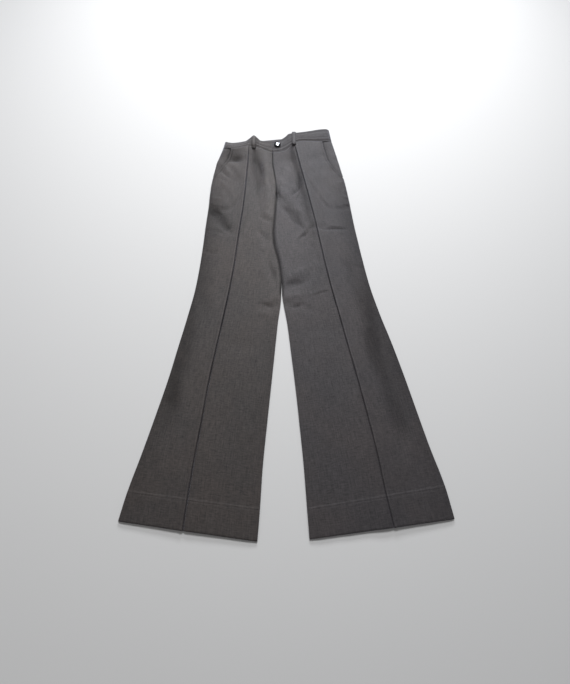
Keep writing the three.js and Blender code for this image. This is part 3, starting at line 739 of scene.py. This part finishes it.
def facingPiece(name, leg, material):
    upper, grain, shade = [], [], []
    for at in [a for a in stations(quick) if a > pocketAt + 3]:
        s = section(leg, at)
        start = pocketAway(leg, s) + seamGap
        line = []
        for share in (0, 0.08, 0.22, 0.38, 0.55, 0.72, 0.86, 0.95, 1):
            p = facePoint(leg, s, start + (s["outer"] - start) * share)
            p.z -= min(2.6 * (1 - share) ** 0.7, max(0.0, p.z - edgeHeight))
            line.append(p)
        upper.append(line)
        grain.append([(p.x * mm * 1.01 + 0.4, p.y * mm) for p in line])
        # painted shadow under the pocket mouth, darkest at the facing's cut edge
        shade.append([0.75, 0.5, 0.22, 0.12, 0.08, 0.08, 0.1, 0.15, 0.25])
    return shell(name, upper, 1.5, material, name, grain, shade=shade)


for key in legs:
    name = "pocket_facing_" + key
    facingPiece(name, legs[key], panels[key]["material"])


# backs: flat on the floor, rounded edges
def backPiece(name, leg, material):
    upper, grain = [], []
    count = 14 if quick else 30
    for at in [a for k, a in enumerate(stations(True)) if k % 2 == 0] + [seamAt]:
        s = section(leg, at)
        line, marks = [], []
        for share in spread(0, 1, count):
            x = s["inX"] + (s["outX"] - s["inX"]) * share + leg["side"] * 0.15 * (1 - share)
            y = s["inY"] + (s["outY"] - s["inY"]) * share
            y += (backSeam["y"](x) - seamGap - bandFoot) * s["bend"]
            edge = min(share, 1 - share) * abs(s["outX"] - s["inX"])
            z = clothThick + 0.12 * noise.noise(Vector((x * 0.03, y * 0.03, 0))) - 0.25 * bell(edge, 3)
            line.append(Vector((x, y, z)))
            marks.append((x * mm + 0.8, y * mm))
        upper.append(line)
        grain.append(marks)
    piece = shell(name, upper, 1.7, material, name, grain, 0.4)
    return piece


for key in legs:
    name = "back_" + key
    backPiece(name, legs[key], panels[key]["material"])
print("stage backs")


# ---- waistband ----
def bandPiece(name, spec):
    shade = []
    seamRows, topRows, side, material = (spec[key] for key in ("seam", "top", "side", "material"))
    seamCurve, topCurve = curvesOf(seamRows, "x"), curvesOf(topRows, "x")
    upper, grain = [], []
    columns = spread(0, 1, 50 if quick else 110)
    shares = [0, 0.02] + spread(0.05, 0.95, 24) + [0.98, 1]
    start = seamRows[-1]["x"] if side < 0 else seamRows[0]["x"]
    first = seamRows[0 if side < 0 else -1]["x"]
    second = topRows[0 if side < 0 else -1]["x"]
    for share in shares:
        end = first + (second - first) * share
        line, marks = [], []
        for t in columns:
            x = start + (end - start) * t
            lowY, lowZ = seamCurve["y"](x), seamCurve["z"](x)
            highY, highZ = topCurve["y"](x), topCurve["z"](x)
            z = lowZ + (highZ - lowZ) * share + 0.9 * math.sin(math.pi * share)
            z += 0.38 * noise.noise(Vector((x * 0.016, share * 3.4, side * 2.0))) * math.sin(math.pi * share)
            z += 0.30 * noise.noise(Vector((x * 0.05, share * 9.0, side * 4.0))) * math.sin(math.pi * share)
            for at, deep in spec["wrinkles"]:
                drift = 0.09 * noise.noise(Vector((x * 0.02, at * 9.0, side)))
                z += deep * bell((share - at - drift) * 46, 2.2) * (0.6 + 0.6 * abs(noise.noise(Vector((x * 0.03, at * 5, 2)))))
            z -= 0.35 * bell(share * 46, 1.2) + 0.35 * bell((1 - share) * 46, 1.2)
            roll = min(1.0, abs(end - x) / edgeRoll)
            z = edgeHeight + 0.2 + (z - edgeHeight - 0.2) * math.sqrt(roll)
            y = lowY + seamGap / 2 + (highY - lowY - seamGap / 2) * share
            line.append(Vector((x, y, z)))
            marks.append((share * 0.046 + 0.2, x * mm))
        upper.append(line)
        grain.append(marks)
        # painted shade in the wrinkle troughs and painted highlight on their ridges; painted shade along the
        # band's lower seam, stronger on the left; the whole band a little darker
        wrinkleShade = sum(-deep * 0.16 * bell((share - at) * 46, 3.0) for at, deep in spec["wrinkles"])
        foot = 0.3 * bell(share * 46, 1.6) * (1.0 if side < 0 else 0.6)
        shade.append([0.06 + wrinkleShade + foot for t in columns])
    return shell(name, upper, 1.9, material, name, grain, 0.7, shade)


bands = {
    "waistband_front_left": {"seam": leftSeam, "top": leftTop, "side": -1, "material": clothLeft,
        "wrinkles": [(0.12, -1.3), (0.24, 0.9), (0.38, -1.0), (0.6, 0.5), (0.8, -0.6)]},
    "waistband_front_right": {"seam": rightSeam, "top": rightTop, "side": 1, "material": clothRight,
        "wrinkles": [(0.1, -1.2), (0.2, 1.0), (0.32, -0.8), (0.66, 0.5), (0.84, -0.6)]},
}
for name, spec in bands.items():
    bandPiece(name, spec)


def backBandPiece(name, material):
    upper, grain = [], []
    for share in (0, 0.05, 0.2, 0.5, 0.8, 0.95, 1):
        low, high = -165 + 6 * share, 160 - 2 * share
        line, marks = [], []
        for x in spread(low, high, 60):
            y = backSeam["y"](x) + (backTop["y"](x) - backSeam["y"](x)) * share
            line.append(Vector((x, y, clothThick - 0.3 * bell(min(share, 1 - share) * 46, 2))))
            marks.append((share * 0.046 + 0.6, x * mm))
        upper.append(line)
        grain.append(marks)
    return shell(name, upper, 1.7, material, name, grain, 0.4)


backBandPiece("waistband_back", clothRight)
print("stage waistband")


# ---- belt loops ----
def loopPiece(name, spec, material):
    path = curveThrough(spec["path"])
    ys = spread(spec["path"][0][0], spec["path"][-1][0], 34)
    upper, grain, shade = [], [], []
    for y in ys:
        # painted shade along the loop's edges and at its foot, painted highlight down its middle
        foot = 0.55 * bell(y - ys[0], 3.5)
        shade.append([v + foot for v in (0.55, 0.45, 0.12, -0.1, -0.12, -0.1, 0.12, 0.45, 0.55)])
        line, marks = [], []
        for share in (-0.5, -0.46, -0.38, -0.2, 0, 0.2, 0.38, 0.46, 0.5):
            z = path(y) + 0.25 * (1 - (2 * share) ** 2) - 0.22 * bell(abs(share) - 0.33, 0.045)
            line.append(Vector((spec["x"] + spec["lean"] * (y - ys[0]) + share * 11, y, z)))
            marks.append((share * 0.011 + 0.3, y * mm))
        upper.append(line)
        grain.append(marks)
    return shell(name, upper, 1.4, material, name, grain, 0.35, shade)


loops = {
    "belt_loop_left": {"x": -72, "lean": 0.02, "material": clothLeft,
        "path": [(988, 21.6), (992, 22.6), (998, 26.0), (1008, 28.0), (1020, 28.4), (1029, 26.5),
                 (1034, 22.5), (1037, 19.2)]},
    "belt_loop_right": {"x": 47, "lean": 0.02, "material": clothRight,
        "path": [(995, 27.4), (1000, 29.0), (1010, 29.6), (1024, 30.0), (1036, 29.8), (1042, 28.6),
                 (1046, 28.2)]},
}
for name, spec in loops.items():
    loopPiece(name, spec, spec["material"])
print("stage loops")


# ---- button: polished domed cap in a rolled rim painted near black, standing for the shadow ring around the cap ----
def lathePiece(name, profile, place, material, replaced=None, turns=72):
    verts, faces = [], []
    for k in range(turns):
        angle = 2 * math.pi * k / turns
        for r, h in profile:
            verts.append((place[0] * mm + r * mm * math.cos(angle),
                          (place[1] - middleY) * mm + r * mm * math.sin(angle), (place[2] + h) * mm))
    size = len(profile)
    for k in range(turns):
        n = (k + 1) % turns
        for i in range(size - 1):
            faces.append([k * size + i, n * size + i, n * size + i + 1, k * size + i + 1])
    mesh = bpy.data.meshes.new(name)
    mesh.from_pydata(verts, [], faces)
    mesh.polygons.foreach_set("use_smooth", [True] * len(faces))
    mesh.materials.append(material)
    piece = bpy.data.objects.new(name, mesh)
    bpy.context.scene.collection.objects.link(piece)
    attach(piece, "root")
    if replaced:
        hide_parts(replaced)
    return piece


buttonPlace = (-2, 1007, 16.6)
capProfile = [(0.001, 3.4), (1.5, 3.37), (3.0, 3.25), (4.4, 3.0), (5.4, 2.6), (6.0, 2.1),
              (6.1, 1.6), (6.1, 1.0), (0.001, 1.0)]
rimProfile = [(6.0, 1.0), (6.4, 1.5), (7.3, 2.3), (8.3, 2.7), (9.2, 2.5), (9.8, 2.0), (10.0, 1.4),
              (9.8, 0.8), (9.2, 0.2), (8.2, 0.0), (6.0, 0.2), (6.0, 1.0)]
lathePiece("button", capProfile, buttonPlace, capMetal, "button")
lathePiece("button_rim", rimProfile, buttonPlace, rimMetal)
print("stage button")


# ---- stitches: short thread lengths laid along a line of surface points ----
def stitchPiece(name, lines, length=2.3, pitch=3.0, radius=0.26):
    verts, faces = [], []
    for points in lines:
        run, total = [0.0], 0.0
        for a, b in zip(points, points[1:]):
            total += (b - a).length
            run.append(total)
        place = pitch * 0.5
        while place + length < total:
            ends = []
            for goal in (place, place + length):
                i = max(k for k in range(len(run)) if run[k] <= goal)
                i = min(i, len(points) - 2)
                t = (goal - run[i]) / max(1e-6, run[i + 1] - run[i])
                ends.append(points[i].lerp(points[i + 1], t))
            along = (ends[1] - ends[0]).normalized()
            side = along.cross(Vector((0, 0, 1))).normalized()
            up = side.cross(along)
            base = len(verts)
            for share, fat, sink in ((0, 0.35, -0.28), (0.2, 0.9, 0.0), (0.8, 0.9, 0.0), (1, 0.35, -0.28)):
                centre = ends[0].lerp(ends[1], share) + up * (sink + 0.12)
                for k in range(5):
                    angle = 2 * math.pi * k / 5
                    v = centre + (side * math.cos(angle) + up * math.sin(angle)) * radius * fat
                    verts.append(tuple(toFrame(v)))
            for ring in range(3):
                for k in range(5):
                    n = (k + 1) % 5
                    a = base + ring * 5
                    faces.append([a + k, a + n, a + 5 + n, a + 5 + k])
            place += pitch
    mesh = bpy.data.meshes.new(name)
    mesh.from_pydata(verts, [], faces)
    mesh.polygons.foreach_set("use_smooth", [True] * len(faces))
    mesh.materials.append(thread)
    piece = bpy.data.objects.new(name, mesh)
    bpy.context.scene.collection.objects.link(piece)
    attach(piece, "root")
    return piece


def hemLine(leg):
    s = section(leg, hemAt + hemDepth - 4)
    s["edge"] = s["outer"]
    return [facePoint(leg, s, away) for away in spread(-s["inner"] + 2, s["outer"] - 2, 90)]


def pocketLine(leg, inset):
    points = []
    for at in spread(pocketAt + 4, seamAt - 2, 40):
        s = section(leg, at)
        s["edge"] = pocketAway(leg, s)
        points.append(facePoint(leg, s, s["edge"] - inset))
    return points


for key, leg in legs.items():
    stitchPiece("hem_stitches_" + key, [hemLine(leg)], 1.6, 7.0, 0.2)
    stitchPiece("pocket_stitches_" + key, [pocketLine(leg, 6.0)])
print("stage stitches")


print("stage sheets skipped")


# ---- floor and light ----
def addFloor():
    bpy.ops.mesh.primitive_plane_add(size=6, location=(0, 0, -0.0002))
    floor = bpy.context.object
    floor.name = "floor"
    material = bpy.data.materials.new("floor")
    material.use_nodes = True
    shader = material.node_tree.nodes["Principled BSDF"]
    shader.inputs["Base Color"].default_value = (0.60, 0.59, 0.575, 1.0)
    shader.inputs["Roughness"].default_value = 0.9
    floor.data.materials.append(material)


def addArea(name, place, aim, size, power, colour):
    data = bpy.data.lights.new(name, "AREA")
    data.shape = "RECTANGLE"
    data.size, data.size_y = size
    data.energy = power
    data.color = colour
    lamp = bpy.data.objects.new(name, data)
    bpy.context.scene.collection.objects.link(lamp)
    lamp.location = place
    way = Vector(aim) - Vector(place)
    lamp.rotation_euler = way.to_track_quat("-Z", "Y").to_euler()


addFloor()
addArea("window", (0.2, 2.0, 1.15), (0, 0.25, 0), (1.0, 0.6), 41.0, (0.92, 0.95, 1.0))
addArea("skylight", (0.1, 1.0, 1.9), (0.0, 0.1, 0), (0.6, 0.5), 38.0, (0.95, 0.97, 1.0))
addArea("room", (-1.2, -0.9, 2.2), (0, 0, 0), (2.4, 2.4), 6.0, (1.0, 0.95, 0.89))
world = bpy.data.worlds.new("world")
world.use_nodes = True
world.node_tree.nodes["Background"].inputs[0].default_value = (0.82, 0.85, 0.9, 1.0)
world.node_tree.nodes["Background"].inputs[1].default_value = 0.20
bpy.context.scene.world = world
bpy.context.scene.view_settings.view_transform = "Standard"
print("stage light")
